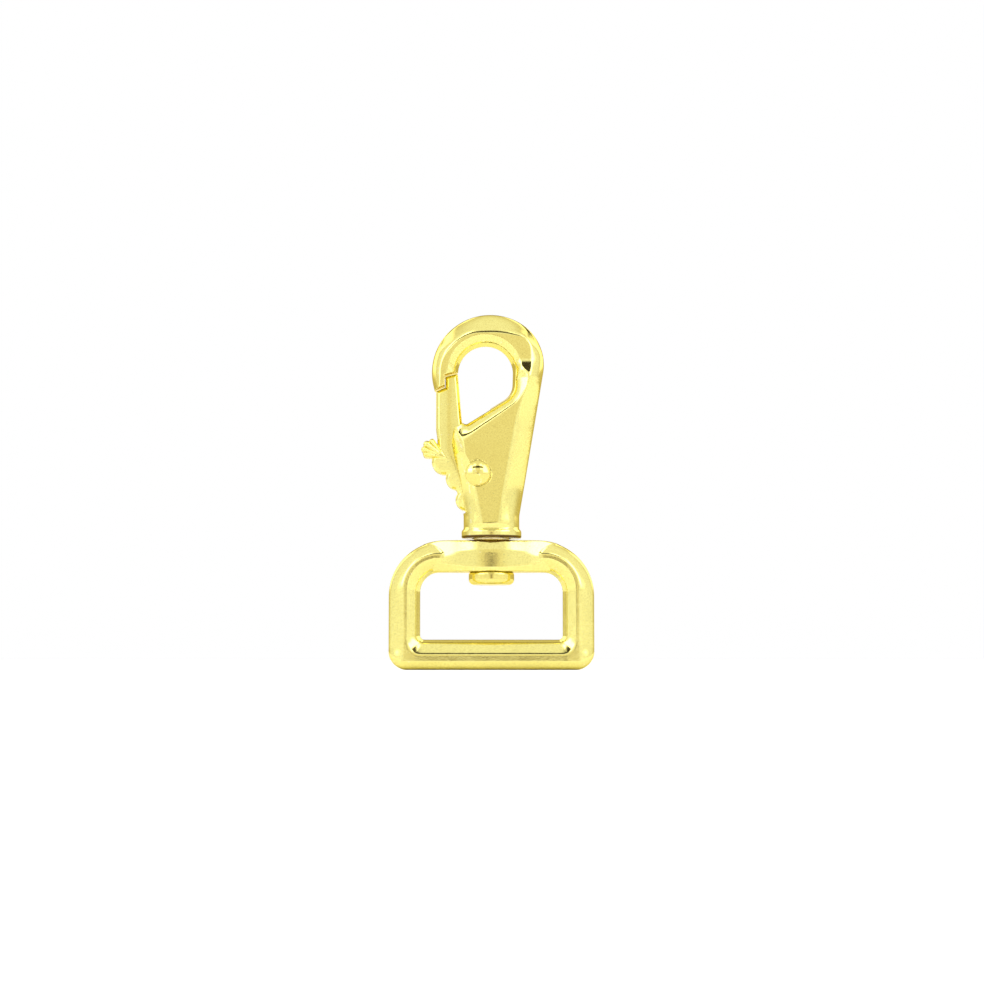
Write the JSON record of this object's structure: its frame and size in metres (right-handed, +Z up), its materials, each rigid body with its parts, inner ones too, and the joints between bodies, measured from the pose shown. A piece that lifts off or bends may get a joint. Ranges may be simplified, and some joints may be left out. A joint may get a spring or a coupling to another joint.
{
  "type": "swivel snap hook",
  "caption": "Swivel snap hook: a cast teardrop hook with a sprung thumb gate turns on a headed post above a rectangular strap loop.",
  "frame": {"origin": "on the swivel axis, at the underside of the strap loop's bottom bar", "axes": "+Z up the swivel axis towards the hook, +X towards the hook's spine, away from the gate, and -Y out of the front face"},
  "size_m": [0.0366, 0.011, 0.0637],
  "materials": {
    "gold_cast_hook": "polished, gold-plated zinc casting",
    "gold_cast_gate": "polished, gold-plated zinc casting, a little paler",
    "gold_rivet": "polished, gold-plated steel rivet",
    "gold_post": "polished, gold-plated turned steel",
    "gold_washer": "satin, gold-plated pressed steel",
    "gold_cast_loop": "polished, gold-plated zinc casting",
    "spring_steel": "bright drawn spring wire"
  },
  "bodies": {
    "hook": {"hook_body": "gold_cast_hook", "gate_pin": "gold_rivet", "gate_spring": "spring_steel", "swivel_post": "gold_post", "thrust_washer": "gold_washer"},
    "gate": {"gate": "gold_cast_gate"},
    "loop": {"strap_loop": "gold_cast_loop"}
  },
  "joints": [
    {"name": "gate_hinge", "type": "hinge", "parent": "hook", "child": "gate", "pos_m": [-0.00242, 0, 0.0347], "axis": [0, 1, 0], "range_deg": [0, 24], "stiffness_Nm_per_rad": 0.03, "springref_deg": -28.65, "deforming": ["gate_spring"]},
    {"name": "swivel", "type": "hinge", "parent": "hook", "child": "loop", "pos_m": [0, 0, 0.02015], "axis": [0, 0, 1], "continuous": true}
  ]
}
